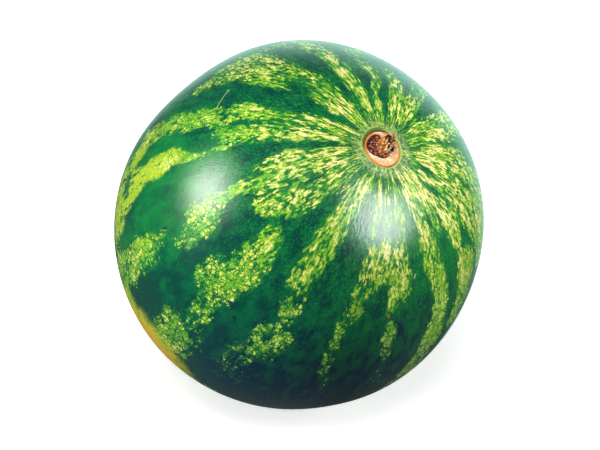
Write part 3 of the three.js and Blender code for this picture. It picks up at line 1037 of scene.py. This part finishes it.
    # Inside the scar the wall on that side is painted dark olive: painted shade.
    wall = nodes.fall(nodes.total(down, (lip, -0.4)), *SCAR_WALL)
    colour = nodes.blend(wall, colour, nodes.blend(lip, COLLAR_PALE, WALL_SHADE_OLIVE))
    around = nodes.attribute("around")
    mark = mark_group()
    for start, end, half_width, strength, paint in MARKS:
        shown = add_mark(nodes, mark, (start, end), half_width, down, around, fine)
        colour = nodes.blend(nodes.times(shown, strength), colour, paint)
    button = nodes.step(nodes.total(down, (middling, 2.0)), *BUTTON_EDGE)
    colour = nodes.blend(button, colour, BUTTON_BROWN)
    nodes.join(colour, shader["Base Color"])

    bloom = nodes.noise(nodes.drawn_out(grain, 0.15), 2.6, 4, 0.7)
    combed = nodes.noise(nodes.drawn_out(thread, 0.12), 1.3, 2, 0.6)
    combed = nodes.times(combed, upper)
    dull = nodes.spread(nodes.step(down, *DULL_EDGE), 0, 1, *DULLNESS)
    nodes.join(nodes.total((bloom, 0.2), (broad, 0.1), dull), shader["Roughness"])
    relief = nodes.total(
        (net["Height"], 0.35), (bloom, 0.5), (grit, 0.5), (middling, 0.8), (combed, 1.0)
    )
    nodes.join(nodes.bump(relief, 0.35, RIND_RELIEF), shader["Normal"])
    for label, value in WAX.items():
        shader[label].default_value = value
    return material


# ---- Dry stalk ----

CORK = from_srgb(236, 178, 124)
CORK_CREAM = from_srgb(250, 232, 190)
CORK_ORANGE = from_srgb(240, 146, 56)
WOOD_GOLD = from_srgb(216, 150, 62)
WOOD_BROWN = from_srgb(128, 58, 24)
WOOD_CREAM = from_srgb(250, 228, 176)
RED_SPOT = from_srgb(196, 62, 34)
MOAT_BROWN = from_srgb(182, 82, 22)
MOAT_MAROON = from_srgb(124, 38, 46)
MOAT_SHADE_PURPLE = from_srgb(44, 24, 44)
HOLLOW_SHADE_BLACK = from_srgb(14, 10, 20)
WOOD_RELIEF = 0.2 * MM


def dry_stalk_material():
    material, nodes, shader = new_material("dry stalk")
    place = nodes.attribute("stub", "Vector")
    broad = nodes.noise(place, 3.2, 3, 0.6)
    lumpy = nodes.noise(place, 1.1, 3, 0.65)
    fine = nodes.noise(place, 0.35, 2, 0.6)
    grain = nodes.noise(nodes.drawn_out(place, 0.25), 0.7, 3, 0.7)
    # Painted highlights, and a pale patch on the base, lighten the cork and the wood.
    pale_and_highlit = nodes.attribute("pale_and_highlit")
    pale = nodes.math("MULTIPLY_ADD", pale_and_highlit, 0.25, broad)
    cork = nodes.blend(nodes.step(pale, 0.42, 0.66), CORK, CORK_CREAM)
    burnt = nodes.step(nodes.vector("DOT_PRODUCT", place, BURNT_SIDE), 1, 9)
    orange = nodes.total((nodes.attribute("rim"), 0.85), (lumpy, 0.9), (burnt, 0.5))
    orange = nodes.total(orange, (pale_and_highlit, -0.7), -0.6)
    cork = nodes.blend(nodes.step(orange, 0.1, 0.9), cork, CORK_ORANGE)
    red = nodes.times(nodes.step(lumpy, 0.64, 0.72), 0.6)
    cork = nodes.blend(red, cork, RED_SPOT)
    ridge_light = nodes.attribute("ridge_light")
    # Ridges are painted lighter, up to cream, and gaps darker brown: painted highlights and shade
    # on the stub's relief, mixed with its own wood tones.
    tone = nodes.total((grain, 0.6), (lumpy, 0.5), (broad, 0.3), (ridge_light, 0.45), -0.42)
    tone = nodes.math("MULTIPLY_ADD", pale_and_highlit, 0.22, tone)
    wood = nodes.blend(nodes.step(tone, 0.45, 0.56), WOOD_BROWN, WOOD_GOLD)
    wood = nodes.blend(nodes.step(tone, 0.62, 0.76), wood, WOOD_CREAM)
    colour = nodes.blend(nodes.attribute("wood"), cork, wood)
    in_moat = nodes.attribute("moat")
    # Deeper in the moat and in the gaps between ridges the cork is painted darker brown and maroon:
    # painted shade over its own brown.
    depth = nodes.total((in_moat, 1.0), (lumpy, 0.8), (ridge_light, -1.7), 0.4)
    colour = nodes.blend(nodes.times(in_moat, 0.7), colour, WOOD_GOLD)
    colour = nodes.blend(nodes.step(depth, 0.2, 0.5), colour, MOAT_BROWN)
    colour = nodes.blend(nodes.step(depth, 0.6, 0.85), colour, MOAT_MAROON)
    # The moat is painted darkest, near purple-black, on one side: painted shade.
    shaded_moat_side = nodes.vector("DOT_PRODUCT", place, MOAT_SHADE_SIDE)
    dark = nodes.total((depth, 1.0), (broad, 1.4), (fine, 0.4), (shaded_moat_side, 0.09), -1.45)
    colour = nodes.blend(nodes.step(dark, 0.8, 1.05), colour, MOAT_SHADE_PURPLE)
    # The hollows are painted near black: partly dark rotted wood, partly painted shade in the
    # holes.
    hollow = nodes.step(nodes.total((nodes.attribute("hollow"), 1.0), (fine, 0.5), -0.25), 0.2, 0.6)
    colour = nodes.blend(hollow, colour, HOLLOW_SHADE_BLACK)
    nodes.join(colour, shader["Base Color"])
    nodes.join(nodes.total((lumpy, 0.3), 0.5), shader["Roughness"])
    relief = nodes.total((grain, 0.6), (fine, 0.3))
    nodes.join(nodes.bump(relief, 0.5, WOOD_RELIEF), shader["Normal"])
    shader["Specular IOR Level"].default_value = 0.25
    return material


# ---- Stage, light and camera ----

FRUIT_MIDDLE = Vector((0, 0, REST_HEIGHT))
CAMERA_DISTANCE = 1.15
CAMERA_RISE = math.radians(30)
LENS_MM = 110.15
SENSOR_MM = 36
AIM_OFFSET = Vector((0.73 * MM, 0, 0.65 * MM))
# Which way each light or gleam lies from the fruit, and how far off the lights are.
LEFT_LIGHT = (-0.815, -0.26, 0.5)
RIGHT_LIGHT = (0.73, -0.55, 0.375)
BACK_LIGHT = (0.2, 0.97, -0.05)
FLOOR_SHEEN = (-0.1, -0.5, -0.86)
FILL_DISTANCE = 1.6
SOFT_DISTANCE = 1.3
LAMP_DISTANCE = 1.2

WHITE = (1, 1, 1, 1)
BACK_TINT = (0.6, 1, 0.86, 1)
BELOW_TINT = (0.25, 0.35, 1, 1)
BACK_GLEAM = (0.04, 1.45)  # elsewhere, and at the back
BELOW_GLEAM = 0.1
ROOM_DIM = 0.08
FLOOR_SIZE = 12
FLOOR_PALE = (0.93, 0.93, 0.93, 1)
FLOOR_GLOW = 0.6


def aim(obj, target):
    obj.rotation_euler = (target - obj.location).to_track_quat("-Z", "Y").to_euler()


def make_camera():
    data = bpy.data.cameras.new("camera")
    data.lens = LENS_MM
    data.sensor_width = SENSOR_MM
    data.clip_start = 0.01
    camera = bpy.data.objects.new("camera", data)
    bpy.context.scene.collection.objects.link(camera)
    back = Vector((0, -math.cos(CAMERA_RISE), math.sin(CAMERA_RISE)))
    camera.location = FRUIT_MIDDLE + back * CAMERA_DISTANCE
    aim(camera, FRUIT_MIDDLE + AIM_OFFSET)
    bpy.context.scene.camera = camera


def make_light(name, towards, distance, size, power, colour=(1, 1, 1)):
    """A round soft light that faces the fruit."""
    data = bpy.data.lights.new(name, "AREA")
    data.shape = "DISK"
    data.size = size
    data.energy = power
    data.color = colour
    light = bpy.data.objects.new(name, data)
    bpy.context.scene.collection.objects.link(light)
    light.location = FRUIT_MIDDLE + Vector(towards).normalized() * distance
    aim(light, FRUIT_MIDDLE)
    return light


def make_gleam(name, towards, distance, size, power, colour):
    """A round soft light that only shows as a reflection in the wax."""
    light = make_light(name, towards, distance, size, power, colour)
    light.visible_diffuse = False


def make_lights():
    for name, towards, size, power in (
        ("overhead soft light", (-0.08, -0.5, 0.86), 1.0, 21),
        ("left fill light", (-0.92, -0.2, 0.28), 1.0, 10),
        ("low left fill light", (-0.9, -0.36, 0.03), 0.28, 14),
        ("right fill light", (0.97, 0.08, 0.14), 1.0, 22.5),
    ):
        fill = make_light(name, towards, FILL_DISTANCE, size, power)
        fill.visible_glossy = False
    make_gleam("left soft light", LEFT_LIGHT, SOFT_DISTANCE, 0.9, 9.5, (0.84, 1, 0.74))
    make_gleam("left lamp", LEFT_LIGHT, LAMP_DISTANCE, 0.44, 8.2, (1, 0.97, 0.92))
    make_gleam("right soft light", RIGHT_LIGHT, SOFT_DISTANCE, 0.9, 14.5, (0.7, 0.95, 0.88))
    make_gleam("right lamp", RIGHT_LIGHT, LAMP_DISTANCE, 0.68, 15.8, (1, 0.84, 0.92))


def make_world():
    """White where the camera sees it. As a light it is dim, green-blue and strongest at the
    back, and blue below."""
    world = bpy.data.worlds.new("studio")
    bpy.context.scene.world = world
    world.use_nodes = True
    world.node_tree.nodes.clear()
    nodes = Nodes(world.node_tree)
    path = nodes.add("ShaderNodeLightPath").outputs
    towards = nodes.add("ShaderNodeTexCoord").outputs["Generated"]
    back = nodes.vector("DOT_PRODUCT", towards, Vector(BACK_LIGHT).normalized())
    gleam = nodes.spread(nodes.step(back, 0.75, 1), 0, 1, *BACK_GLEAM)
    below = nodes.step(nodes.vector("DOT_PRODUCT", towards, FLOOR_SHEEN), 0.25, 0.95)
    gleam = nodes.math("MULTIPLY_ADD", below, BELOW_GLEAM, gleam)
    dim = nodes.spread(path["Is Glossy Ray"], 0, 1, ROOM_DIM, gleam)
    strength = nodes.math("MAXIMUM", dim, path["Is Camera Ray"])
    tint = nodes.blend(below, BACK_TINT, BELOW_TINT)
    colour = nodes.blend(path["Is Glossy Ray"], WHITE, tint)
    background = nodes.add("ShaderNodeBackground", {"Color": colour, "Strength": strength})
    output = nodes.add("ShaderNodeOutputWorld")
    world.node_tree.links.new(background.outputs[0], output.inputs["Surface"])


def make_floor():
    deselect_all()
    bpy.ops.mesh.primitive_plane_add(size=FLOOR_SIZE, location=(0, 0, 0))
    floor = bpy.context.object
    floor.name = "floor"
    material, _, shader = new_material("pale floor")
    shader["Base Color"].default_value = FLOOR_PALE
    shader["Roughness"].default_value = 0.9
    shader["Emission Color"].default_value = WHITE
    shader["Emission Strength"].default_value = FLOOR_GLOW
    floor.data.materials.append(material)
    floor.visible_diffuse = False
    floor.visible_glossy = False


make_camera()
make_lights()
make_world()
make_floor()
make_rind()
make_stub()

bpy.context.scene.view_settings.view_transform = "Standard"
bpy.context.scene.view_settings.look = "None"
